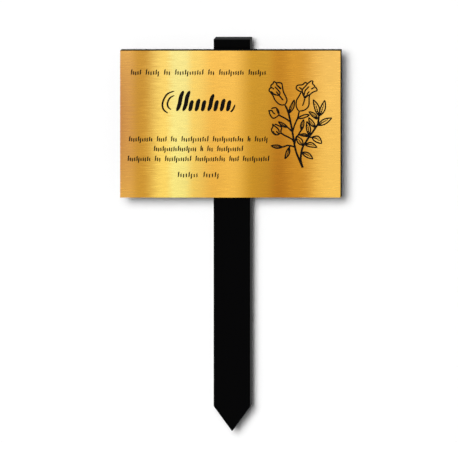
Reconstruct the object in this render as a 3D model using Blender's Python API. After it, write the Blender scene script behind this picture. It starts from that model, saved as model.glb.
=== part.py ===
"""Grave plaque glued to a pointed ground stake, upright, with its front towards -Y.

The plaque is a plate of engraving laminate: a thin gold-coloured cap over a black core, with
the ornament cut through the cap. The stake is one flat black bar with a pointed lower end.
The origin is on the back face of the stake, at the level where the ground comes to.
Lengths are in metres, +Z is up.
"""

import math

import bmesh
import bpy
from mathutils import Vector
from mathutils.geometry import delaunay_2d_cdt

# Driving dimensions
PLAQUE_WIDTH = 0.150
PLAQUE_HEIGHT = 0.100
PLAQUE_THICKNESS = 0.0032
STAKE_WIDTH = 0.025
STAKE_LENGTH = 0.267
STAKE_THICKNESS = 0.005
STAKE_POINT = 0.0171
STAKE_EDGE_EASE = 0.0003
STAKE_RISE = 0.0065
GROUND_DEPTH = 0.110
GLUE_FILM = 0.0003
ENGRAVING_DEPTH = 0.0003

# Pen widths of the engraving
FINE_PEN = 0.00060
LINE_PEN = 0.00070
STEM_PEN = 0.00110
BLADE_PEN = 0.00220

# Levels and planes that follow from them
TIP_Z = -GROUND_DEPTH
STAKE_TOP_Z = TIP_Z + STAKE_LENGTH
SHOULDER_Z = TIP_Z + STAKE_POINT
PLAQUE_MIDDLE_Z = STAKE_TOP_Z - STAKE_RISE - PLAQUE_HEIGHT / 2
STAKE_FRONT_Y = -STAKE_THICKNESS
PLAQUE_BACK_Y = STAKE_FRONT_Y - GLUE_FILM
PLAQUE_FRONT_Y = PLAQUE_BACK_Y - PLAQUE_THICKNESS

# The engraving's places, as shares of the plaque's width and height from its middle
INSCRIPTION_MIDDLE = -0.1475
ROWS = (
    # width, base line, letters in each word
    (0.617, 0.335, (3, 4, 2, 8, 2, 7, 5)),
    (0.635, -0.119, (7, 3, 2, 8, 9, 1, 4)),
    (0.408, -0.185, (13, 1, 2, 8)),
    (0.646, -0.253, (7, 2, 8, 9, 3, 8)),
    (0.193, -0.362, (5, 4)),
)
ROW_STROKE_HEIGHT = 0.027
ROW_SLANT = 0.25
STROKES_PER_LETTER = 1.5
STROKE_HEIGHTS = (1.5, 1.0, 0.9, 1.0, 1.4, 1.0, 0.85, 1.0, 1.0, 1.25, 0.9)

FLOURISH_BASE = 0.088
FLOURISH_TALL = 0.140
FLOURISH_LOW = 0.075
FLOURISH_SLANT = 0.35
FIRST_BLADE = -0.244
BLADE_SPACING = 0.0285
BLADE_TALLNESS = (1.0, 1.0, 0.0, 0.15, 0.0, 0.65, 0.0, 0.15, 0.0)
BLADE_PROFILE = (0.0, 0.22, 0.5, 0.80, 1.0)
OUTER_BOW = ((-0.252, 0.226), (-0.287, 0.203), (-0.307, 0.145), (-0.303, 0.100), (-0.282, 0.074))
INNER_BOW = ((-0.253, 0.196), (-0.274, 0.178), (-0.285, 0.142), (-0.281, 0.115), (-0.268, 0.098))
TAIL = ((-0.004, 0.084), (0.003, 0.090), (0.011, 0.108), (0.018, 0.134))

SPRAY_LEFT = 0.1725
SPRAY_BOTTOM = -0.301
SPRAY_WIDTH = 0.290
SPRAY_HEIGHT = 0.599

# The spray's stems, leaves and flowers, as shares of its own box from the lower left corner
MAIN_STEM = ((0.545, 0.004), (0.470, 0.115), (0.425, 0.225), (0.385, 0.400), (0.345, 0.560), (0.262, 0.722))
RIGHT_STEM = ((0.545, 0.004), (0.512, 0.110), (0.540, 0.255), (0.647, 0.364), (0.767, 0.482), (0.800, 0.620))
SIDE_STEMS = (
    ((0.386, 0.395), (0.440, 0.535), (0.487, 0.645)),
    ((0.346, 0.545), (0.270, 0.585), (0.172, 0.606)),
    ((0.396, 0.315), (0.300, 0.368), (0.193, 0.402)),
    ((0.380, 0.415), (0.345, 0.448), (0.300, 0.466)),
    ((0.415, 0.240), (0.337, 0.260), (0.235, 0.243)),
    ((0.415, 0.300), (0.455, 0.370), (0.520, 0.437)),
)
LEAVES = (
    # base, tip, breadth as a share of the length
    ((0.327, 0.628), (0.408, 0.781), 0.24),
    ((0.308, 0.461), (0.160, 0.534), 0.26),
    ((0.241, 0.242), (0.040, 0.259), 0.24),
    ((0.327, 0.252), (0.262, 0.103), 0.30),
    ((0.455, 0.549), (0.642, 0.600), 0.17),
    ((0.518, 0.433), (0.561, 0.562), 0.30),
    ((0.647, 0.367), (0.609, 0.541), 0.30),
    ((0.640, 0.372), (0.480, 0.374), 0.24),
    ((0.670, 0.362), (0.838, 0.280), 0.44),
    ((0.537, 0.263), (0.432, 0.367), 0.44),
    ((0.575, 0.275), (0.762, 0.235), 0.32),
    ((0.535, 0.185), (0.700, 0.106), 0.36),
    ((0.785, 0.610), (0.704, 0.784), 0.28),
    ((0.805, 0.607), (0.886, 0.777), 0.30),
    ((0.775, 0.545), (0.638, 0.645), 0.30),
    ((0.738, 0.470), (0.633, 0.586), 0.34),
    ((0.780, 0.489), (0.996, 0.572), 0.30),
)
BLOOMS = (
    # base, lean in degrees from upright, length, cup width and rim width in shares of the box's height
    ((0.262, 0.722), -22.0, 0.272, 0.148, 0.160),
    ((0.487, 0.645), 13.0, 0.340, 0.150, 0.225),
)
BUDS = (
    # base, lean, length, width
    ((0.172, 0.606), -72.0, 0.125, 0.110),
    ((0.193, 0.402), -38.0, 0.135, 0.110),
)

# One petal cup, in shares of its width to the right and of its length up
CUP_SIDE = ((0.0, 0.0), (0.36, 0.12), (0.50, 0.36), (0.46, 0.60))
RIM_PETALS = ((-0.50, 0.74), (-0.42, 0.88), (-0.16, 1.0), (0.08, 0.94), (0.34, 0.98), (0.44, 0.86), (0.50, 0.74))
FOLDED_LIP = ((-0.50, 0.74), (-0.22, 0.66), (0.02, 0.56), (0.18, 0.66), (0.50, 0.74))
CUP_SLIT = ((0.02, 0.56), (0.10, 0.46), (0.14, 0.34))
INNER_FOLD = ((-0.20, 0.96), (-0.06, 0.80), (0.02, 0.60))
BUD_TOP = ((0.46, 0.60), (0.24, 0.86), (0.0, 1.0))
BUD_SEAM = ((-0.10, 0.98), (0.04, 0.70), (0.02, 0.42))

# Below 1, a leaf is broadest nearer to its base than to its tip
LEAF_BELLY = 0.85

# Points worked out on each span of a curve, and the shortest edge kept
SPAN_STEPS = 2
LEAF_STEPS = 4
EASE_STEPS = 2
SHORTEST_EDGE = 2.0e-6


def clear_scene():
    """Start from an empty scene."""
    for thing in list(bpy.data.objects):
        bpy.data.objects.remove(thing, do_unlink=True)


def finish_of(name, colour, roughness, metallic):
    """A plain material with one colour, roughness and metallic value."""
    material = bpy.data.materials.new(name)
    material.use_nodes = True
    shader = material.node_tree.nodes["Principled BSDF"]
    shader.inputs["Base Color"].default_value = (*colour, 1.0)
    shader.inputs["Roughness"].default_value = roughness
    shader.inputs["Metallic"].default_value = metallic
    return material


def add_piece(name, bm, *materials):
    """Turn a bmesh into a named object with its finish, or with the finishes that its faces number."""
    mesh = bpy.data.meshes.new(name)
    bmesh.ops.recalc_face_normals(bm, faces=bm.faces)
    bm.to_mesh(mesh)
    bm.free()
    for material in materials:
        mesh.materials.append(material)
    piece = bpy.data.objects.new(name, mesh)
    bpy.context.scene.collection.objects.link(piece)
    return piece


def on_plaque(share):
    """A point of the plaque's face, from shares of its width and height, as (x, z)."""
    return Vector((share[0] * PLAQUE_WIDTH, PLAQUE_MIDDLE_Z + share[1] * PLAQUE_HEIGHT))


def in_spray(share):
    """A point of the spray's box as a share of the plaque."""
    return (SPRAY_LEFT + share[0] * SPRAY_WIDTH, SPRAY_BOTTOM + share[1] * SPRAY_HEIGHT)


def smooth_path(points, steps=SPAN_STEPS):
    """Points along the Catmull-Rom curve that runs through the given ones."""
    knots = [points[0]] + list(points) + [points[-1]]
    path = []
    for before, start, end, after in zip(knots, knots[1:], knots[2:], knots[3:]):
        for step in range(steps):
            t = step / steps
            path.append(0.5 * ((2 * start) + (end - before) * t
                               + (2 * before - 5 * start + 4 * end - after) * t ** 2
                               + (3 * start - before - 3 * end + after) * t ** 3))
    path.append(points[-1])
    return path


def pen_stroke(path, width, point_at_start=False, point_at_end=False):
    """The flat faces that a pen of this width leaves along a path, drawn out to a point where asked."""
    last = len(path) - 1
    left, right = [], []
    for k, spot in enumerate(path):
        along = (path[min(k + 1, last)] - path[max(k - 1, 0)]).normalized()
        across = Vector((-along.y, along.x)) * width / 2
        if (k == 0 and point_at_start) or (k == last and point_at_end):
            across = Vector((0.0, 0.0))
        left.append(spot + across)
        right.append(spot - across)
    faces = []
    for k in range(last):
        corners = [right[k], right[k + 1], left[k + 1], left[k]]
        kept = [corner for n, corner in enumerate(corners) if (corner - corners[n - 1]).length > SHORTEST_EDGE]
        faces.append(kept)
    return faces


def slanted_blade(foot, height, slant, width):
    """A leaning stroke with blunt ends, from its foot up."""
    half = Vector((width / 2, 0.0))
    top = foot + Vector((height * slant, height))
    return [[foot - half, foot + half, top + half, top - half]]


def inscription_row(width_share, base_share, words):
    """One row of short leaning strokes, grouped as words are but without any letters."""
    cells = sum(words) + len(words) - 1
    row_start = INSCRIPTION_MIDDLE - width_share / 2
    cell = width_share / cells
    height = ROW_STROKE_HEIGHT * PLAQUE_HEIGHT
    faces = []
    cells_done = 0
    for letters in words:
        strokes = math.ceil(letters * STROKES_PER_LETTER)
        for k in range(strokes):
            place = cells_done + (k + 0.5) * letters / strokes
            foot = on_plaque((row_start + place * cell, base_share))
            rise = STROKE_HEIGHTS[k % len(STROKE_HEIGHTS)]
            faces += slanted_blade(foot, height * rise, ROW_SLANT, FINE_PEN)
        cells_done += letters + 1
    return faces


def flourish():
    """A pen flourish: a row of leaning blades between two nested bows and a small loose tail."""
    faces = []
    for k, tallness in enumerate(BLADE_TALLNESS):
        height = (FLOURISH_LOW + (FLOURISH_TALL - FLOURISH_LOW) * tallness) * PLAQUE_HEIGHT
        foot = on_plaque((FIRST_BLADE + k * BLADE_SPACING, FLOURISH_BASE))
        lean = Vector((height * FLOURISH_SLANT, height))
        faces += pen_stroke([foot + lean * share for share in BLADE_PROFILE], BLADE_PEN, True, True)
    for line in (OUTER_BOW, INNER_BOW, TAIL):
        faces += pen_stroke(smooth_path([on_plaque(share) for share in line]), LINE_PEN, True, True)
    return faces


def leaf(base, tip, breadth):
    """Two bowed lines from the base to the tip of a leaf."""
    length = (tip - base).length
    along = (tip - base) / length
    across = Vector((-along.y, along.x))
    faces = []
    for side in (-1, 1):
        path = []
        for k in range(LEAF_STEPS + 1):
            t = k / LEAF_STEPS
            bow = side * breadth / 2 * length * math.sin(math.pi * t ** LEAF_BELLY)
            path.append(base + along * length * t + across * bow)
        faces += pen_stroke(path, LINE_PEN)
    return faces


def flower_frame(base, lean, length, width):
    """A function that places shares of a flower's width and length on the plaque."""
    angle = math.radians(lean)
    up = Vector((math.sin(angle), math.cos(angle)))
    right = Vector((up.y, -up.x))
    return lambda share: base + right * share[0] * width + up * share[1] * length


def cup_sides(place):
    """Both sides of a flower's cup, from its base."""
    faces = []
    for side in (-1, 1):
        faces += pen_stroke(smooth_path([place((side * s, t)) for s, t in CUP_SIDE]), LINE_PEN)
    return faces


def bloom(base, lean, length, cup_width, rim_width):
    """A half open flower: a cup, the petals of its rim, a folded lip, a slit and an inner fold."""
    cup = flower_frame(base, lean, length, cup_width)
    rim = flower_frame(base, lean, length, rim_width)
    faces = cup_sides(cup)
    for side in (-1, 1):
        end_of_side = cup((side * CUP_SIDE[-1][0], CUP_SIDE[-1][1]))
        faces += pen_stroke([end_of_side, rim((side * RIM_PETALS[-1][0], RIM_PETALS[-1][1]))], LINE_PEN)
    for line in (RIM_PETALS, FOLDED_LIP, INNER_FOLD):
        faces += pen_stroke(smooth_path([rim(share) for share in line]), LINE_PEN)
    return faces + pen_stroke([cup(share) for share in CUP_SLIT], LINE_PEN, False, True)


def bud(base, lean, length, width):
    """A closed bud: two sides that meet at the top, and a seam."""
    place = flower_frame(base, lean, length, width)
    faces = cup_sides(place)
    for side in (-1, 1):
        faces += pen_stroke([place((side * s, t)) for s, t in BUD_TOP], LINE_PEN)
    return faces + pen_stroke(smooth_path([place(share) for share in BUD_SEAM]), LINE_PEN)


def flower_spray():
    """Stems, leaves, two blooms and two buds, drawn in line."""
    spot = lambda share: on_plaque(in_spray(share))
    box_height = SPRAY_HEIGHT * PLAQUE_HEIGHT
    faces = []
    for stem in (MAIN_STEM, RIGHT_STEM):
        faces += pen_stroke(smooth_path([spot(share) for share in stem]), STEM_PEN)
    for stem in SIDE_STEMS:
        faces += pen_stroke(smooth_path([spot(share) for share in stem]), LINE_PEN)
    for base, tip, breadth in LEAVES:
        faces += leaf(spot(base), spot(tip), breadth)
    for base, lean, length, cup_width, rim_width in BLOOMS:
        faces += bloom(spot(base), lean, length * box_height, cup_width * box_height, rim_width * box_height)
    for base, lean, length, width in BUDS:
        faces += bud(spot(base), lean, length * box_height, width * box_height)
    return faces


def engraved_faces():
    """All that is cut into the plaque, as flat faces in its front plane."""
    faces = flourish() + flower_spray()
    for row in ROWS:
        faces += inscription_row(*row)
    return faces


def front_sheet(bm, outline, cut_faces):
    """Triangulate the front, and return the triangles that lie in the engraving."""
    spots = list(outline)
    loops = []
    for face in cut_faces:
        loops.append(list(range(len(spots), len(spots) + len(face))))
        spots += face
    points, _, triangles, _, _, origins = delaunay_2d_cdt(spots, [], loops, 0, SHORTEST_EDGE)
    verts = [bm.verts.new((point.x, PLAQUE_FRONT_Y, point.y)) for point in points]
    engraved = []
    for triangle, inside in zip(triangles, origins):
        face = bm.faces.new([verts[k] for k in triangle])
        if inside:
            engraved.append(face)
    return engraved


def push_back(bm, extruded, distance):
    """Move newly extruded corners towards +Y."""
    corners = [item for item in extruded["geom"] if isinstance(item, bmesh.types.BMVert)]
    bmesh.ops.translate(bm, verts=corners, vec=(0.0, distance, 0.0))
    return corners


def make_plaque():
    """A flat plate whose front carries the engraving as shallow flat-bottomed grooves."""
    bm = bmesh.new()
    outline = [on_plaque(share) for share in ((-0.5, -0.5), (0.5, -0.5), (0.5, 0.5), (-0.5, 0.5))]
    engraved = front_sheet(bm, outline, engraved_faces())
    border = [edge for edge in bm.edges if edge.is_boundary]
    region = engraved + list({edge for face in engraved for edge in face.edges})
    push_back(bm, bmesh.ops.extrude_face_region(bm, geom=region), ENGRAVING_DEPTH)
    back_rim = bmesh.ops.extrude_edge_only(bm, edges=border)
    push_back(bm, back_rim, PLAQUE_THICKNESS)
    back_edges = [item for item in back_rim["geom"] if isinstance(item, bmesh.types.BMEdge)]
    bmesh.ops.contextual_create(bm, geom=back_edges)
    finishes = (finish_of("brushed_gold", (0.83, 0.53, 0.11), 0.35, 0.7),
                finish_of("black_core", (0.008, 0.007, 0.006), 0.6, 0.0))
    for face in bm.faces:
        is_cap = all(abs(corner.co.y - PLAQUE_FRONT_Y) < SHORTEST_EDGE for corner in face.verts)
        face.material_index = 0 if is_cap else 1
    return add_piece("plaque", bm, *finishes)


def make_stake():
    """A flat bar with square shoulders that run to a point at the bottom."""
    bm = bmesh.new()
    half = STAKE_WIDTH / 2
    outline = ((-half, STAKE_TOP_Z), (-half, SHOULDER_Z), (0.0, TIP_Z), (half, SHOULDER_Z), (half, STAKE_TOP_Z))
    front = bm.faces.new([bm.verts.new((x, STAKE_FRONT_Y, z)) for x, z in outline])
    push_back(bm, bmesh.ops.extrude_face_region(bm, geom=[front], use_keep_orig=True), STAKE_THICKNESS)
    stake = add_piece("stake", bm, finish_of("black_acrylic", (0.006, 0.006, 0.006), 0.35, 0.0))
    ease = stake.modifiers.new("eased_edges", "BEVEL")
    ease.width = STAKE_EDGE_EASE
    ease.segments = EASE_STEPS
    ease.limit_method = "ANGLE"
    return stake


clear_scene()
make_plaque()
make_stake()
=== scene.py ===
"""The finished look of a grave plaque with stake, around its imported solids.

Metres, +Z up, the engraved front towards -Y. The pieces follow each other as the real plaque is
made: the engraved cap, the core under it, the stake, then the studio, its light and the camera.
"""

import math

import bpy
import numpy as np
from mathutils import Matrix, Vector
from mathutils.geometry import delaunay_2d_cdt


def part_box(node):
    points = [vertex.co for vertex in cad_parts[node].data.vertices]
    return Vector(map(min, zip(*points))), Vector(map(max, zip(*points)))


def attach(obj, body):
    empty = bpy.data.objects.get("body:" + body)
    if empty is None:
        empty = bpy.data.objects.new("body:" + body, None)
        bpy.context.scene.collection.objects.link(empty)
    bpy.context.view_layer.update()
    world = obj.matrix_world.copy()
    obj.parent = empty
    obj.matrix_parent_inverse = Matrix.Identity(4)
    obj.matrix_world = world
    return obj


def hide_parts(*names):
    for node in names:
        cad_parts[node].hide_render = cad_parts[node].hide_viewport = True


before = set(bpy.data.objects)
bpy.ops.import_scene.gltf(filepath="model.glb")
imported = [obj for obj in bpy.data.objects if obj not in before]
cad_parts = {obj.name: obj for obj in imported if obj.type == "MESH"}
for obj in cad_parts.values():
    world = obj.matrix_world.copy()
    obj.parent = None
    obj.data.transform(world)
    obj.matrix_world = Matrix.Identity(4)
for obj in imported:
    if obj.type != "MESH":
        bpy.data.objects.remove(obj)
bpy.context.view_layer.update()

# Engraved cap
# The plaque is cut from two-ply engraving laminate. This is its cap, a thin gold-coloured film
# brushed along the plaque, and every line of the drawing is cut right through it.
plaque_low, plaque_high = (np.array(corner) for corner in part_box("plaque"))
plaque_size = (plaque_high - plaque_low)[[0, 2]]
plaque_middle = ((plaque_low + plaque_high) / 2)[[0, 2]]
front_y = plaque_low[1]
CAP_THICKNESS = 0.0001
cap_back_y = front_y + CAP_THICKNESS

# Pens, by their widths in metres, and the least width of any line
HAIR_PEN = 0.00042
FINE_PEN = 0.00084
LINE_PEN = 0.00096
SIDE_STEM_PEN = 1.15 * LINE_PEN
SHADE_PEN = 0.00125
STEM_PEN = 0.00138
BLADE_PEN = 0.00275
NIB = 0.00004

# How full a stroke is, from a pointed blade at 2 to an even line with round ends at 14, and its
# least widths at its first and last point, as shares of the pen
LINE_FULLNESS = 14.0
POINTED = (0.0, 0.0)
POINTS_PER_SPAN = 8


def on_plaque(shares):
    """Shares of the plaque's width and height from its middle, turned into places in metres."""
    return plaque_middle + np.asarray(shares, float) * plaque_size


def curve_through(points, count):
    """Points on a Catmull-Rom curve: on each span the cubic that passes through its ends with
    slopes of half the chord between the neighbours on each side."""
    points = np.asarray(points, float)
    knots = np.vstack((points[:1], points, points[-1:]))
    along = np.linspace(0.0, len(points) - 1.0, count)
    span = np.minimum(along.astype(int), len(points) - 2)
    t = (along - span)[:, None]
    before, start, end, after = (knots[span + n] for n in range(4))
    return 0.5 * (2 * start + (end - before) * t
                  + (2 * before - 5 * start + 4 * end - after) * t ** 2
                  + (3 * start - before - 3 * end + after) * t ** 3)


def swell(count, fullness, taper=POINTED):
    """Widths at shares t of the way along a stroke, as shares of the pen: the root of
    1 - |2t - 1| to the power of the fullness, and never less than the taper, which runs straight
    from its first value to its last."""
    t = np.linspace(0.0, 1.0, count)
    width = np.sqrt(1.0 - np.abs(2 * t - 1) ** fullness)
    first, last = taper
    return np.maximum(width, first + (last - first) * t)


def pen_line(path, widths):
    """The closed outline of a pen line: the path moved to either side by half the pen's width,
    square to the way it runs."""
    along = np.gradient(path, axis=0)
    along /= np.linalg.norm(along, axis=1, keepdims=True)
    across = np.column_stack((-along[:, 1], along[:, 0]))
    half = np.maximum(widths, NIB)[:, None] / 2
    return np.vstack((path - across * half, (path + across * half)[::-1]))


def drawn(points, pen, fullness=LINE_FULLNESS, taper=POINTED):
    """A smooth pen line through a few points."""
    count = POINTS_PER_SPAN * (len(points) - 1) + 1
    return pen_line(curve_through(points, count), pen * swell(count, fullness, taper))


# The inscription's rows: width, base line, and strokes grouped as words are. None is a letter.
INSCRIPTION_MIDDLE = -0.1475
ROWS = (
    (0.617, 0.335, (3, 4, 2, 8, 2, 7, 5)),
    (0.635, -0.119, (7, 3, 2, 8, 9, 1, 4)),
    (0.408, -0.185, (13, 1, 2, 8)),
    (0.646, -0.253, (7, 2, 8, 9, 3, 8)),
    (0.193, -0.362, (5, 4)),
)
ROW_HEIGHT = 0.027
ROW_SLANT = 0.25
STROKES_PER_CELL = 1.5
STROKE_RISE = (1.5, 1.0, 0.9, 1.0, 1.4, 1.0, 0.85, 1.0, 1.0, 1.25, 0.9)
STROKE_DROP = (0.0, 0.0, 0.1, 0.0, 0.0, 0.45, 0.0, 0.0, 0.1, 0.0, 0.0)
STROKE_BEND = 0.07
STROKE_FULLNESS = 5.0
STROKE_POINTS = 9


def inscription_row(width, base, words):
    """Short leaning strokes, each a straight slant with one period of a sine across it. A row is
    split into cells of one width, with one cell left free between two words."""
    cell = width / (sum(words) + len(words) - 1)
    unit = ROW_HEIGHT * plaque_size[1]
    t = np.linspace(0.0, 1.0, STROKE_POINTS)
    loops = []
    start = INSCRIPTION_MIDDLE - width / 2
    for cells in words:
        strokes = math.ceil(cells * STROKES_PER_CELL)
        for k in range(strokes):
            foot = on_plaque((start + (k + 0.5) * cells / strokes * cell, base))
            drop = STROKE_DROP[k % len(STROKE_DROP)] * unit
            height = STROKE_RISE[k % len(STROKE_RISE)] * unit + drop
            rise = height * t - drop
            lean = rise * ROW_SLANT + STROKE_BEND * unit * np.sin(2 * np.pi * t)
            path = foot + np.column_stack((lean, rise))
            loops.append(pen_line(path, FINE_PEN * swell(STROKE_POINTS, STROKE_FULLNESS)))
        start += (cells + 1) * cell
    return loops


# The flourish in the middle: leaning blades between two nested bows and a small loose tail
FLOURISH_BASE = 0.088
FLOURISH_LOW = 0.075
FLOURISH_TALL = 0.140
FLOURISH_SLANT = 0.35
FIRST_BLADE = -0.244
BLADE_SPACING = 0.0285
BLADE_TALLNESS = (1.0, 1.0, 0.0, 0.15, 0.0, 0.65, 0.0, 0.15, 0.0)
BLADE_BEND = 0.03
BLADE_FULLNESS = 4.0
BLADE_POINTS = 25
BOW_FULLNESS = 3.0
OUTER_BOW = ((-0.252, 0.226), (-0.287, 0.203), (-0.307, 0.145), (-0.303, 0.100), (-0.282, 0.074))
INNER_BOW = ((-0.253, 0.196), (-0.274, 0.178), (-0.285, 0.142), (-0.281, 0.115), (-0.268, 0.098))
TAIL = ((0.000, 0.084), (0.007, 0.090), (0.015, 0.108), (0.022, 0.134))


def flourish():
    """Blades that are slants with one period of a sine across them, thick in the middle, then
    the bows and the tail, which swell in the middle as well."""
    t = np.linspace(0.0, 1.0, BLADE_POINTS)
    loops = []
    for k, tallness in enumerate(BLADE_TALLNESS):
        height = (FLOURISH_LOW + (FLOURISH_TALL - FLOURISH_LOW) * tallness) * plaque_size[1]
        foot = on_plaque((FIRST_BLADE + k * BLADE_SPACING, FLOURISH_BASE))
        lean = height * (FLOURISH_SLANT * t + BLADE_BEND * np.sin(2 * np.pi * t))
        path = foot + np.column_stack((lean, height * t))
        loops.append(pen_line(path, BLADE_PEN * swell(BLADE_POINTS, BLADE_FULLNESS)))
    for line in (OUTER_BOW, INNER_BOW, TAIL):
        loops.append(drawn(on_plaque(line), SHADE_PEN, BOW_FULLNESS))
    return loops


# The flower spray, in shares of its own box from the lower left corner
SPRAY_CORNER = (0.1725, -0.301)
SPRAY_SPAN = (0.290, 0.599)
STEM_TAPER = (1.1, 0.65)
MAIN_STEM = (
    (0.540, 0.008), (0.485, 0.100), (0.440, 0.180), (0.413, 0.261), (0.400, 0.320), (0.385, 0.385),
    (0.372, 0.443), (0.349, 0.524), (0.321, 0.618), (0.293, 0.675), (0.258, 0.724),
)
RIGHT_STEM = (
    (0.540, 0.008), (0.508, 0.095), (0.520, 0.186), (0.545, 0.250), (0.579, 0.288), (0.638, 0.357),
    (0.689, 0.405), (0.741, 0.464), (0.774, 0.497), (0.785, 0.539), (0.792, 0.588), (0.805, 0.620),
)
SIDE_STEM_TAPER = (1.0, 0.8)
SIDE_STEMS = (
    ((0.383, 0.419), (0.405, 0.476), (0.439, 0.537), (0.466, 0.585), (0.484, 0.650)),
    ((0.352, 0.524), (0.316, 0.543), (0.271, 0.566), (0.215, 0.587), (0.165, 0.606)),
    ((0.399, 0.301), (0.372, 0.330), (0.316, 0.354), (0.249, 0.378), (0.198, 0.403)),
    ((0.377, 0.415), (0.338, 0.443), (0.299, 0.468)),
    ((0.411, 0.242), (0.349, 0.257), (0.293, 0.259), (0.249, 0.247), (0.215, 0.242)),
    ((0.349, 0.257), (0.338, 0.250), (0.327, 0.236)),
    ((0.416, 0.282), (0.435, 0.352), (0.461, 0.368), (0.490, 0.405), (0.522, 0.440)),
    ((0.461, 0.368), (0.448, 0.368)),
    ((0.638, 0.357), (0.660, 0.353), (0.686, 0.354)),
)
LEAVES = (
    # base, tip, breadth and bend as shares of the length
    ((0.323, 0.628), (0.406, 0.781), 0.24, -0.05),
    ((0.299, 0.468), (0.157, 0.533), 0.26, 0.04),
    ((0.215, 0.242), (0.040, 0.257), 0.28, 0.02),
    ((0.327, 0.236), (0.260, 0.107), 0.28, 0.05),
    ((0.520, 0.436), (0.556, 0.556), 0.28, 0.03),
    ((0.640, 0.380), (0.604, 0.536), 0.29, -0.03),
    ((0.638, 0.365), (0.480, 0.379), 0.24, -0.06),
    ((0.686, 0.354), (0.839, 0.280), 0.50, 0.10),
    ((0.540, 0.263), (0.440, 0.366), 0.44, 0.0),
    ((0.575, 0.270), (0.766, 0.236), 0.34, 0.10),
    ((0.530, 0.180), (0.702, 0.106), 0.36, 0.04),
    ((0.788, 0.602), (0.703, 0.783), 0.27, -0.05),
    ((0.808, 0.600), (0.886, 0.776), 0.29, -0.04),
    ((0.768, 0.560), (0.632, 0.645), 0.30, -0.06),
    ((0.738, 0.466), (0.632, 0.580), 0.31, 0.05),
    ((0.785, 0.489), (0.997, 0.573), 0.31, 0.02),
)
LEAF_POINTS = 17
LEAF_BELLY = 0.85
LEAF_FULLNESS = 8.0
LEAF_TAPER = (1.1, 0.6)
VEIN_END = 0.72
VEIN_TAPER = (2.4, 0.2)
HATCHES = (0.20, 0.32, 0.44, 0.56)
HATCH_ALONG = 0.12
HATCH_ACROSS = 0.20
HATCH_TAPER = (0.8, 0.1)

# Lines of the two blooms, the two buds and the long leaf under the right bloom
OUTLINE_TAPER = (0.8, 0.8)
FLOWER_OUTLINES = (
    ((0.030, 0.866), (0.073, 0.828), (0.101, 0.783), (0.135, 0.751),
     (0.174, 0.729), (0.213, 0.720), (0.260, 0.724)),
    ((0.221, 0.946), (0.227, 0.905), (0.241, 0.864), (0.269, 0.824),
     (0.291, 0.783), (0.288, 0.755), (0.260, 0.722)),
    ((0.050, 0.916), (0.040, 0.933), (0.053, 0.951), (0.076, 0.966), (0.087, 0.988)),
    ((0.085, 0.988), (0.101, 0.984), (0.129, 0.972), (0.163, 0.975),
     (0.193, 0.972), (0.212, 0.962), (0.221, 0.940)),
    ((0.018, 0.869), (0.014, 0.891), (0.026, 0.909), (0.050, 0.918)),
    ((0.016, 0.871), (0.051, 0.869), (0.082, 0.850),
     (0.112, 0.837), (0.140, 0.832), (0.175, 0.827)),
    ((0.516, 0.868), (0.487, 0.828), (0.447, 0.779), (0.436, 0.739),
     (0.442, 0.698), (0.462, 0.666), (0.486, 0.650)),
    ((0.650, 0.838), (0.640, 0.804), (0.640, 0.763), (0.634, 0.714),
     (0.604, 0.682), (0.559, 0.660), (0.484, 0.650)),
    ((0.530, 0.866), (0.500, 0.874), (0.470, 0.885), (0.434, 0.907)),
    ((0.434, 0.905), (0.440, 0.921), (0.446, 0.936), (0.470, 0.946), (0.509, 0.948),
     (0.542, 0.952), (0.559, 0.966), (0.583, 0.975), (0.612, 0.963)),
    ((0.533, 0.873), (0.537, 0.897), (0.559, 0.917), (0.598, 0.946),
     (0.615, 0.962), (0.648, 0.982), (0.679, 0.998)),
    ((0.679, 0.998), (0.698, 0.986), (0.694, 0.962), (0.721, 0.942),
     (0.735, 0.923), (0.755, 0.909), (0.764, 0.889), (0.756, 0.878)),
    ((0.758, 0.880), (0.721, 0.873), (0.688, 0.860),
     (0.660, 0.844), (0.621, 0.826), (0.573, 0.798)),
    ((0.016, 0.652), (0.018, 0.638), (0.022, 0.620), (0.042, 0.593),
     (0.066, 0.573), (0.098, 0.571), (0.131, 0.585), (0.166, 0.605)),
    ((0.049, 0.674), (0.070, 0.685), (0.109, 0.689), (0.137, 0.679),
     (0.159, 0.654), (0.168, 0.630), (0.165, 0.604)),
    ((0.067, 0.508), (0.073, 0.476), (0.052, 0.443), (0.064, 0.411),
     (0.104, 0.384), (0.148, 0.382), (0.200, 0.403)),
    ((0.098, 0.500), (0.120, 0.499), (0.148, 0.489), (0.193, 0.476),
     (0.210, 0.458), (0.200, 0.430), (0.200, 0.403)),
    ((0.452, 0.548), (0.480, 0.578), (0.530, 0.600), (0.600, 0.613), (0.645, 0.606)),
    ((0.478, 0.565), (0.540, 0.570), (0.600, 0.586), (0.645, 0.606)),
)
FOLD_FULLNESS = 6.0
FOLD_TAPER = (1.0, 0.2)
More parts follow.
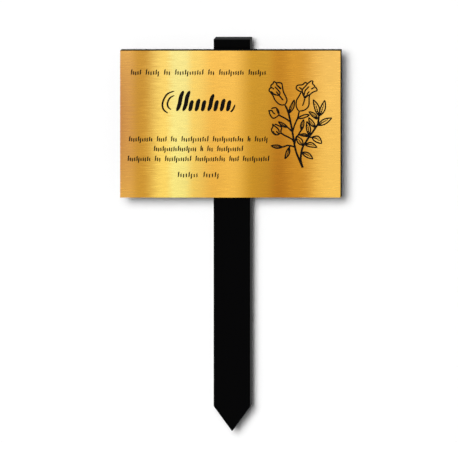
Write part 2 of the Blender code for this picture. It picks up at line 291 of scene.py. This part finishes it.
FLOWER_FOLDS = (
    ((0.126, 0.972), (0.135, 0.948), (0.163, 0.929), (0.188, 0.916), (0.199, 0.899)),
    ((0.174, 0.830), (0.184, 0.858), (0.168, 0.877), (0.135, 0.905), (0.101, 0.929)),
    ((0.171, 0.830), (0.152, 0.848), (0.124, 0.875)),
    ((0.048, 0.918), (0.073, 0.909), (0.090, 0.899)),
    ((0.171, 0.829), (0.191, 0.812), (0.213, 0.791), (0.235, 0.773)),
    ((0.560, 0.830), (0.570, 0.860), (0.579, 0.885), (0.609, 0.909), (0.642, 0.933)),
    ((0.604, 0.838), (0.621, 0.856), (0.645, 0.875)),
    ((0.722, 0.920), (0.693, 0.909), (0.670, 0.899)),
    ((0.529, 0.872), (0.527, 0.893), (0.509, 0.909), (0.480, 0.919)),
    ((0.573, 0.796), (0.565, 0.771), (0.554, 0.743), (0.535, 0.708)),
    ((0.000, 0.654), (0.056, 0.656), (0.076, 0.634), (0.112, 0.614)),
    ((0.067, 0.506), (0.095, 0.484), (0.131, 0.464), (0.159, 0.443), (0.174, 0.405)),
    ((0.104, 0.386), (0.086, 0.405), (0.078, 0.425)),
    ((0.171, 0.396), (0.146, 0.405), (0.127, 0.425)),
)
SHADE_FULLNESS = 2.5
FLOWER_SHADES = (
    ((0.145, 0.941), (0.172, 0.922), (0.200, 0.899)),
    ((0.045, 0.864), (0.085, 0.845), (0.130, 0.832)),
    ((0.532, 0.885), (0.537, 0.860), (0.554, 0.828), (0.575, 0.788)),
    ((0.125, 0.672), (0.147, 0.650), (0.158, 0.618)),
    ((0.070, 0.412), (0.095, 0.394), (0.130, 0.383)),
    ((0.565, 0.810), (0.590, 0.818), (0.625, 0.834)),
)


def in_spray(shares):
    """Shares of the spray's box, turned into places in metres."""
    return on_plaque(np.asarray(SPRAY_CORNER) + np.asarray(shares, float) * SPRAY_SPAN)


def leaf(base, tip, breadth, bend):
    """Two lines from base to tip, bowed out by half a sine about a spine that is itself a shallow
    half sine, then a vein along the spine and short hatches beside it."""
    length = np.linalg.norm(tip - base)
    along = (tip - base) / length
    across = np.array((-along[1], along[0]))
    t = np.linspace(0.0, 1.0, LEAF_POINTS)
    spine = base + length * (np.outer(t, along) + np.outer(bend * np.sin(np.pi * t), across))
    bow = breadth / 2 * length * np.sin(np.pi * t ** LEAF_BELLY)
    widths = LINE_PEN * swell(LEAF_POINTS, LEAF_FULLNESS, LEAF_TAPER)
    loops = [pen_line(spine + np.outer(side * bow, across), widths) for side in (-1, 1)]
    vein = spine[:round(LEAF_POINTS * VEIN_END)]
    loops.append(pen_line(vein, HAIR_PEN * swell(len(vein), LEAF_FULLNESS, VEIN_TAPER)))
    reach = along * length * HATCH_ALONG + across * breadth * length * HATCH_ACROSS
    for place in HATCHES:
        root = spine[round(LEAF_POINTS * place)]
        loops.append(drawn([root, root + reach], HAIR_PEN, taper=HATCH_TAPER))
    return loops


def flower_spray():
    """Stems that thin upwards, leaves, and the lines of the blooms and buds. Folds taper from
    their first point, and shades are short lines that swell in the middle."""
    loops = [drawn(in_spray(stem), STEM_PEN, taper=STEM_TAPER) for stem in (MAIN_STEM, RIGHT_STEM)]
    loops += [drawn(in_spray(stem), SIDE_STEM_PEN, taper=SIDE_STEM_TAPER) for stem in SIDE_STEMS]
    for base, tip, breadth, bend in LEAVES:
        loops += leaf(in_spray(base), in_spray(tip), breadth, bend)
    loops += [drawn(in_spray(line), LINE_PEN, taper=OUTLINE_TAPER) for line in FLOWER_OUTLINES]
    loops += [drawn(in_spray(line), LINE_PEN, FOLD_FULLNESS, FOLD_TAPER) for line in FLOWER_FOLDS]
    loops += [drawn(in_spray(line), SHADE_PEN, SHADE_FULLNESS) for line in FLOWER_SHADES]
    return loops


# Points of the drawing closer together than this become one
SHORTEST_EDGE = 1.0e-6


def engraved_sheet(edge, loops):
    """A flat sheet cut into triangles along every loop, and which of them lie inside a loop."""
    starts = np.cumsum([len(edge)] + [len(loop) for loop in loops])
    faces = [list(range(first, last)) for first, last in zip(starts, starts[1:])]
    spots = np.vstack([edge] + loops)
    places, _, triangles, _, _, origins = delaunay_2d_cdt(
        list(map(Vector, spots)), [], faces, 0, SHORTEST_EDGE)
    return np.array(places), np.array(triangles), np.fromiter(map(bool, origins), bool)


def rims(triangles):
    """The directed outer edges of some triangles: those whose reverse isn't among their edges."""
    edges = np.vstack((triangles[:, [0, 1]], triangles[:, [1, 2]], triangles[:, [2, 0]]))
    size = triangles.max() + 1
    return edges[~np.isin(edges[:, 0] * size + edges[:, 1], edges[:, 1] * size + edges[:, 0])]


def wall(edges, first, last):
    """Two triangles under each directed edge, from one level of points down to another."""
    a, b = edges[:, 0] + first, edges[:, 1] + first
    c, d = edges[:, 0] + last, edges[:, 1] + last
    return np.vstack((np.column_stack((a, c, d)), np.column_stack((a, d, b))))


def add_piece(name, points, triangles, material):
    """A named mesh of the points in use, flat shaded."""
    used, corners = np.unique(triangles, return_inverse=True)
    mesh = bpy.data.meshes.new(name)
    mesh.from_pydata(points[used], [], corners.reshape(-1, 3))
    mesh.materials.append(material)
    piece = bpy.data.objects.new(name, mesh)
    bpy.context.scene.collection.objects.link(piece)
    return piece


class Wire:
    """A value or colour in a material. Sums on values add Math nodes."""

    def __init__(self, finish, socket):
        self.finish = finish
        self.socket = socket

    def math(self, operation, *values):
        inputs = dict(enumerate(values))
        return self.finish.add("ShaderNodeMath", {"operation": operation}, inputs)["Value"]

    def __add__(self, other):
        return self.math("ADD", self, other)

    def __sub__(self, other):
        return self.math("SUBTRACT", self, other)

    def __rsub__(self, other):
        return self.math("SUBTRACT", other, self)

    def __mul__(self, other):
        return self.math("MULTIPLY", self, other)

    def __truediv__(self, other):
        return self.math("DIVIDE", self, other)

    def __pow__(self, other):
        return self.math("POWER", self, other)

    __radd__ = __add__
    __rmul__ = __mul__


class Finish:
    """A material or the world, its shader and the nodes that feed it."""

    def __init__(self, owner, shader="Principled BSDF"):
        owner.use_nodes = True
        self.owner = owner
        self.nodes = owner.node_tree.nodes
        self.links = owner.node_tree.links
        self.shader = self.nodes[shader]

    def feed(self, socket, value):
        if isinstance(value, Wire):
            self.links.new(value.socket, socket)
        else:
            socket.default_value = value

    def add(self, kind, settings, inputs):
        """A node, with its settings first and then its inputs. Returns its outputs by name."""
        node = self.nodes.new(kind)
        for name, value in settings.items():
            if name == "stops":
                self.set_stops(node.color_ramp, value)
            else:
                setattr(node, name, value)
        for key, value in inputs.items():
            self.feed(node.inputs[key], value)
        return {socket.name: Wire(self, socket) for socket in node.outputs if socket.enabled}

    def set_stops(self, ramp, stops):
        """Fill a new ramp, which has two stops of its own."""
        ramp.interpolation = "EASE"
        for place, _ in stops[2:]:
            ramp.elements.new(place)
        for element, (place, colour) in zip(ramp.elements, stops):
            element.position = place
            element.color = colour

    def surface(self, **values):
        """Set or feed the shader's sockets: Base_Color is its Base Color."""
        for name, value in values.items():
            self.feed(self.shader.inputs[name.replace("_", " ")], value)

    def place(self):
        """Object coordinates, in metres."""
        return self.add("ShaderNodeTexCoord", {}, {})["Object"]

    def split(self, vector):
        """A vector's X, Y and Z as values."""
        return self.add("ShaderNodeSeparateXYZ", {}, {"Vector": vector})

    def noise(self, scale, detail=2.0, roughness=0.5):
        """Noise from 0 to 1 whose grains measure one over the scale, in metres, on each axis."""
        spot = self.add("ShaderNodeMapping", {}, {"Vector": self.place(), "Scale": scale})["Vector"]
        grains = {"Vector": spot, "Scale": 1.0, "Detail": detail, "Roughness": roughness}
        return self.add("ShaderNodeTexNoise", {}, grains)["Fac"]

    def ramp(self, stops, value):
        return self.add("ShaderNodeValToRGB", {"stops": stops}, {"Fac": value})["Color"]

    def value(self, colour):
        """How bright a grey is, as a number."""
        return self.add("ShaderNodeSeparateColor", {}, {"Color": colour})["Red"]

    def clamped(self, value):
        return self.add("ShaderNodeClamp", {}, {"Value": value})["Result"]

    def tinted(self, colour, tint):
        """A colour with its red, green and blue each turned down by the tint's."""
        inputs = {0: colour, 1: tint[:3]}
        return self.add("ShaderNodeVectorMath", {"operation": "MULTIPLY"}, inputs)["Vector"]

    def times(self, colour, factor):
        """A colour made brighter or darker by a value."""
        inputs = {"Vector": colour, "Scale": factor}
        return self.add("ShaderNodeVectorMath", {"operation": "SCALE"}, inputs)["Vector"]

    def mixed(self, share, first, second):
        """One colour turning into another."""
        inputs = {0: share, 6: first, 7: second}
        return self.add("ShaderNodeMix", {"data_type": "RGBA"}, inputs)["Result"]

    def bump(self, height, strength, distance):
        inputs = {"Height": height, "Strength": strength, "Distance": distance}
        return self.add("ShaderNodeBump", {}, inputs)["Normal"]


def seen(red, green, blue):
    """A colour given as it looks on a screen, from 0 to 255, in linear light."""
    screen = np.array((red, green, blue)) / 255
    linear = np.where(screen <= 0.04045, screen / 12.92, ((screen + 0.055) / 1.055) ** 2.4)
    return (*linear, 1.0)


# The gold's colours, in light and dark bands that paint the brushed metal's reflection, and where
# each stands across the plaque
COPPER = seen(226, 169, 86)
OLIVE = seen(207, 151, 57)
STRAW = seen(250, 232, 143)
CORN = seen(253, 214, 111)
AMBER = seen(250, 194, 87)
OCHRE = seen(209, 153, 46)
BRONZE = seen(200, 136, 36)
RUSSET = seen(216, 152, 47)
PEACH = seen(246, 194, 97)
GOLD_AND_SHEEN_BANDS = (
    (0.00, COPPER), (0.035, COPPER), (0.088, OLIVE), (0.10, OLIVE), (0.20, CORN), (0.25, STRAW),
    (0.29, STRAW), (0.34, CORN), (0.43, AMBER), (0.50, AMBER), (0.61, OCHRE), (0.66, OCHRE),
    (0.72, BRONZE), (0.80, RUSSET), (0.955, PEACH), (1.00, PEACH),
)
RAGGEDNESS = 0.05

# Tints of the gold and its painted reflection bands: one down the whole plaque, one at the foot of
# some bands, one at the left edge
DOWN_TINT = (1.0, 1.0, 0.80, 1.0)
FOOT_TINT = (0.72, 0.58, 0.50, 1.0)
NONE = (0.0, 0.0, 0.0, 1.0)
FAINT = (0.2, 0.2, 0.2, 1.0)
HALF = (0.5, 0.5, 0.5, 1.0)
MOST = (0.8, 0.8, 0.8, 1.0)
FOOT_SHADED = (
    (0.0, NONE), (0.24, NONE), (0.39, HALF), (0.55, FAINT), (0.72, MOST), (0.82, HALF),
    (0.91, NONE),
)
EDGE_TINT = (0.78, 0.66, 0.80, 1.0)
EDGE_REACH = 0.11

# The brush's level lines at two scales, and faint clouds
STREAK_GRAINS = (110.0, 1.0, 1400.0)
STREAK_DETAIL = 3.0
STREAK_BREAKUP = 0.55
HAIRLINE_GRAINS = (40.0, 1.0, 2600.0)
CLOUD_GRAINS = (14.0, 1.0, 22.0)
CLOUD_DETAIL = 1.0
LEAST_LIGHT = 0.75
STREAK_LIGHT = 0.34
HAIRLINE_LIGHT = 0.08
CLOUD_LIGHT = 0.08
GOLD_ROUGHNESS = 0.20
STREAK_ROUGHNESS = 0.12
GOLD_METAL = 0.7
GOLD_SPECULAR = 0.2
BRUSH_STRENGTH = 0.15
BRUSH_DEPTH = 0.00002


def brushed_gold():
    """Gold in upright light and dark bands, a painted reflection of the brushed metal, whose edges
    the brush has pulled out sideways, with its fine level lines over it all. The painted bands grow
    yellower downwards, some brown towards the foot, and the left edge is reddest half way down, by
    4d(1 - d) at a share d of the height."""
    finish = Finish(bpy.data.materials.new("brushed_gold"))
    spot = finish.split(finish.place())
    streaks = finish.noise(STREAK_GRAINS, STREAK_DETAIL, STREAK_BREAKUP)
    hairlines = finish.noise(HAIRLINE_GRAINS)
    clouds = finish.noise(CLOUD_GRAINS, CLOUD_DETAIL)
    ragged = RAGGEDNESS * (streaks - 0.5)
    across = (spot["X"] - float(plaque_low[0])) / float(plaque_size[0]) + ragged
    down = (float(plaque_high[2]) - spot["Z"]) / float(plaque_size[1])
    # Painted reflection: the brushed metal's light and dark bands are put into the gold's colour
    # across the plaque
    gold_and_sheen = finish.ramp(GOLD_AND_SHEEN_BANDS, across)
    gold_and_sheen = finish.mixed(down, gold_and_sheen, finish.tinted(gold_and_sheen, DOWN_TINT))
    foot = down * finish.value(finish.ramp(FOOT_SHADED, across))
    gold_and_sheen = finish.mixed(foot, gold_and_sheen, finish.tinted(gold_and_sheen, FOOT_TINT))
    half_way = 4.0 * down * (1.0 - down)
    edge = finish.clamped(1.0 - across / EDGE_REACH) * half_way
    gold_and_sheen = finish.mixed(edge, gold_and_sheen, finish.tinted(gold_and_sheen, EDGE_TINT))
    light = (LEAST_LIGHT + STREAK_LIGHT * streaks + HAIRLINE_LIGHT * hairlines
             + CLOUD_LIGHT * clouds)
    finish.surface(
        Base_Color=finish.times(gold_and_sheen, light),
        Roughness=GOLD_ROUGHNESS + STREAK_ROUGHNESS * streaks,
        Metallic=GOLD_METAL,
        Specular_IOR_Level=GOLD_SPECULAR,
        Normal=finish.bump(hairlines + streaks, BRUSH_STRENGTH, BRUSH_DEPTH),
    )
    return finish.owner


# A square's corners, anticlockwise from its lower left one
SQUARE = np.array(((-1, -1), (1, -1), (1, 1), (-1, 1)))
outline = on_plaque(SQUARE / 2)
drawing = flourish() + flower_spray()
for row in ROWS:
    drawing += inscription_row(*row)
flat, triangles, engraved = engraved_sheet(outline, drawing)
count = len(flat)


def at_depth(y):
    """The flat points at one depth."""
    return np.column_stack((flat[:, 0], np.full(count, y), flat[:, 1]))


land = triangles[~engraved]
cap_levels = np.vstack((at_depth(front_y), at_depth(cap_back_y)))
cap_faces = np.vstack((land, land[:, ::-1] + count, wall(rims(land), 0, count)))
cap = add_piece("engraved_cap", cap_levels, cap_faces, brushed_gold())
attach(cap, "root")
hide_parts("plaque")

# Black core
# The core is the laminate's thick ply, matt black right through. The cutter bites into it, so it
# shows at the foot of every line, round the edges and over the whole back.
ENGRAVING_DEPTH = 0.0003
CORE_EASE = 0.0002
groove_floor_y = front_y + ENGRAVING_DEPTH
back_y = plaque_high[1]
CORE_BLACK = (0.0065, 0.0055, 0.0050)
CORE_GRAINS = (2500.0, 2500.0, 2500.0)
CORE_LEAST_LIGHT = 0.6
CORE_GRAIN_LIGHT = 0.8
CORE_ROUGHNESS = 0.5
CORE_GRAIN_ROUGHNESS = 0.2
CORE_SPECULAR = 0.01
CORE_BUMP_STRENGTH = 0.2
CORE_BUMP_DEPTH = 0.00002


def matt_black():
    """Near black, in fine grains that are lighter and rougher the higher they stand."""
    finish = Finish(bpy.data.materials.new("black_core"))
    grain = finish.noise(CORE_GRAINS)
    finish.surface(
        Base_Color=finish.times(CORE_BLACK, CORE_LEAST_LIGHT + CORE_GRAIN_LIGHT * grain),
        Roughness=CORE_ROUGHNESS + CORE_GRAIN_ROUGHNESS * grain,
        Specular_IOR_Level=CORE_SPECULAR,
        Normal=finish.bump(grain, CORE_BUMP_STRENGTH, CORE_BUMP_DEPTH),
    )
    return finish.owner


def rectangle_at(y, inset):
    """The plaque's four corners at one depth, drawn in from its edges."""
    places = outline - inset * SQUARE
    return np.column_stack((places[:, 0], np.full(4, y), places[:, 1]))


corners = np.array([np.argmin(np.linalg.norm(flat - spot, axis=1)) for spot in outline])
land_rims = rims(land)
groove_rims = land_rims[~np.isin(land_rims, corners).all(axis=1)]
core_levels = np.vstack((at_depth(cap_back_y), at_depth(groove_floor_y),
                         rectangle_at(back_y - CORE_EASE, 0.0), rectangle_at(back_y, CORE_EASE)))
ring = np.arange(4)
edges_of_ring = np.column_stack((ring, np.roll(ring, -1)))
side, back = 2 * count, 2 * count + 4
front_to_side = np.vstack((
    np.column_stack((corners, side + ring, side + np.roll(ring, -1))),
    np.column_stack((corners, side + np.roll(ring, -1), np.roll(corners, -1))),
))
back_face = back + np.array(((0, 3, 2), (0, 2, 1)))
core_faces = np.vstack((land, triangles[engraved] + count, wall(groove_rims, 0, count),
                        front_to_side, wall(edges_of_ring, side, back), back_face))
core = add_piece("black_core", core_levels, core_faces, matt_black())
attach(core, "root")
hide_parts("plaque")

# Stake
# One flat bar cut from black acrylic sheet. Its faces keep the sheet's gloss, and its cut edges
# are duller and greyer, with the fine lines that the cutter leaves across them.
FACE_BLACK = (0.0010, 0.0010, 0.0011, 1.0)
EDGE_GREY = (0.033, 0.033, 0.033, 1.0)
CUT_SHARPNESS = 4.0
SAW_LINES = (9000.0, 1.0, 9000.0)
SAW_STRENGTH = 0.15
SAW_DEPTH = 0.00003
HAZE_GRAINS = (60.0, 60.0, 25.0)
HAZE_DETAIL = 4.0
FACE_ROUGHNESS = 0.22
HAZE_ROUGHNESS = 0.10
CUT_ROUGHNESS = 0.35
STAKE_SPECULAR = 0.015


def black_acrylic():
    """Glossy black on the faces, dull grey black on the cut edges, told apart by the normal."""
    finish = Finish(bpy.data.materials.new("black_acrylic"))
    turned = finish.split(finish.add("ShaderNodeNewGeometry", {}, {})["True Normal"])
    cut = (1.0 - turned["Y"] * turned["Y"]) ** CUT_SHARPNESS
    haze = finish.noise(HAZE_GRAINS, HAZE_DETAIL)
    finish.surface(
        Base_Color=finish.mixed(cut, FACE_BLACK, EDGE_GREY),
        Roughness=FACE_ROUGHNESS + HAZE_ROUGHNESS * haze + CUT_ROUGHNESS * cut,
        Specular_IOR_Level=STAKE_SPECULAR,
        Normal=finish.bump(finish.noise(SAW_LINES) * cut, SAW_STRENGTH, SAW_DEPTH),
    )
    return finish.owner


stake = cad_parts["stake"]
stake.material_slots[0].material = black_acrylic()

# Studio
# A pale floor a little under the stake's point, and a pale wall just behind the stake that
# catches the soft shadow. The wall is clear from its back, so the plaque shows from there too.
stake_low, stake_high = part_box("stake")
WALL_GAP = 0.006
FLOOR_GAP = 0.012
STUDIO_HALF = 4.0
wall_y = stake_high.y + WALL_GAP
floor_z = stake_low.z - FLOOR_GAP
WHITE = (1.0, 1.0, 1.0, 1.0)
FLOOR_GREY = (0.8, 0.8, 0.8, 1.0)
FLOOR_ROUGHNESS = 0.9
FLOOR_GLOW = 0.55
WALL_GREY = (0.83, 0.83, 0.83, 1.0)
WALL_ROUGHNESS = 1.0


def plain_sheet(name, corners, finish):
    """One flat stage face that throws no shadow and neither lights the pieces nor is mirrored
    in them."""
    mesh = bpy.data.meshes.new(name)
    mesh.from_pydata(corners, [], [(0, 1, 2, 3)])
    mesh.materials.append(finish.owner)
    sheet = bpy.data.objects.new(name, mesh)
    bpy.context.scene.collection.objects.link(sheet)
    sheet.visible_shadow = False
    sheet.visible_diffuse = False
    sheet.visible_glossy = False
    sheet.visible_transmission = False


floor_finish = Finish(bpy.data.materials.new("pale_floor"))
floor_finish.surface(
    Base_Color=FLOOR_GREY,
    Roughness=FLOOR_ROUGHNESS,
    Specular_IOR_Level=0.0,
    Emission_Color=WHITE,
    Emission_Strength=FLOOR_GLOW,
)
floor_corners = [(x, y, floor_z) for x, y in (STUDIO_HALF * SQUARE).tolist()]
plain_sheet("floor", floor_corners, floor_finish)

wall_finish = Finish(bpy.data.materials.new("pale_wall"))
wall_finish.surface(Base_Color=WALL_GREY, Roughness=WALL_ROUGHNESS, Specular_IOR_Level=0.0)
pale = Wire(wall_finish, wall_finish.shader.outputs[0])
clear = wall_finish.add("ShaderNodeBsdfTransparent", {}, {})["BSDF"]
behind = wall_finish.add("ShaderNodeNewGeometry", {}, {})["Backfacing"]
shown = wall_finish.add("ShaderNodeMixShader", {}, {0: behind, 1: pale, 2: clear})["Shader"]
wall_finish.feed(wall_finish.nodes["Material Output"].inputs["Surface"], shown)
plain_sheet("backdrop", [(-STUDIO_HALF, wall_y, floor_z), (STUDIO_HALF, wall_y, floor_z),
                         (STUDIO_HALF, wall_y, STUDIO_HALF), (-STUDIO_HALF, wall_y, STUDIO_HALF)],
            wall_finish)

# Light
# Three soft lamps side by side, in front and above, throw the shadow low. Weak ones at both sides
# and behind bring out the cut edges and the back, and white surroundings fill in the rest.
bpy.context.scene.view_settings.view_transform = "Standard"
LAMPS = (
    # name, degrees to the right, degrees up, softness in degrees, strength
    ("key_left", -9.5, 30.0, 28.0, 0.415),
    ("key_middle", -1.5, 30.0, 28.0, 0.415),
    ("key_right", 6.5, 30.0, 28.0, 0.415),
    ("right_fill", 95.0, 10.0, 40.0, 0.6),
    ("left_fill", -95.0, 10.0, 40.0, 0.4),
    ("back_right_fill", 125.0, -5.0, 40.0, 0.7),
    ("back_left_fill", -125.0, -5.0, 40.0, 0.5),
)


def soft_sun(name, azimuth, elevation, spread, strength):
    """A far lamp at these degrees to the right of and above the plaque's front."""
    turn, up = math.radians(azimuth), math.radians(elevation)
    towards = Vector((math.sin(turn) * math.cos(up), -math.cos(turn) * math.cos(up), math.sin(up)))
    lamp = bpy.data.lights.new(name, "SUN")
    lamp.angle = math.radians(spread)
    lamp.energy = strength * math.pi
    sun = bpy.data.objects.new(name, lamp)
    sun.rotation_euler = (-towards).to_track_quat("-Z", "Y").to_euler()
    bpy.context.scene.collection.objects.link(sun)


for settings in LAMPS:
    soft_sun(*settings)

# Surroundings: white to the camera, weak as light, and bright in gloss except from behind
SURROUND_LIGHT = 0.13
FRONT_GLOSS = 0.84
BACK_GLOSS = 0.06
BACK_STARTS = 0.85
FRONT_STARTS = 0.5
world = bpy.data.worlds.new("white_surround")
bpy.context.scene.world = world
surround = Finish(world, "Background")
ray = surround.add("ShaderNodeLightPath", {}, {})
direction = surround.split(surround.add("ShaderNodeTexCoord", {}, {})["Generated"])
fade = {"Value": direction["Y"], "From Min": BACK_STARTS, "From Max": FRONT_STARTS}
ahead = surround.add("ShaderNodeMapRange", {}, fade)["Result"]
gloss = BACK_GLOSS + (FRONT_GLOSS - BACK_GLOSS) * ahead
strength = (SURROUND_LIGHT + (1.0 - SURROUND_LIGHT) * ray["Is Camera Ray"]
            + (gloss - SURROUND_LIGHT) * ray["Is Glossy Ray"])
surround.surface(Color=WHITE, Strength=strength)

# Camera
# The picture is a parallel view that keeps the front square while the top and right edges show,
# as an engineer's oblique drawing does. The camera's stand leans its line of sight to match.
PICTURE = 458
PIXEL = 0.000681
CAMERA_DISTANCE = 1.5
# Pixels from the picture's upper left corner to the middle of the plaque's front
PLAQUE_AT = (230.25, 124.15)
# How far a metre of depth moves to the right and upwards in the picture
SIDE_SEEN = 0.315
TOP_SEEN = 0.365

view_x = plaque_middle[0] + (PICTURE / 2 - PLAQUE_AT[0]) * PIXEL
view_z = plaque_middle[1] - (PICTURE / 2 - PLAQUE_AT[1]) * PIXEL
camera_data = bpy.data.cameras.new("camera")
camera_data.type = "ORTHO"
camera_data.ortho_scale = PICTURE * PIXEL
camera = bpy.data.objects.new("camera", camera_data)
camera.location = (view_x, front_y - CAMERA_DISTANCE, view_z)
camera.rotation_euler = (math.pi / 2, 0.0, 0.0)
bpy.context.scene.collection.objects.link(camera)
stand = bpy.data.objects.new("camera_stand", None)
bpy.context.scene.collection.objects.link(stand)
lean = Matrix(((1, -SIDE_SEEN, 0, 0), (0, 1, 0, 0), (0, -TOP_SEEN, 1, 0), (0, 0, 0, 1)))
to_front = Matrix.Translation((0, front_y, 0))
camera.parent = stand
camera.matrix_parent_inverse = to_front @ lean @ to_front.inverted()
bpy.context.scene.camera = camera
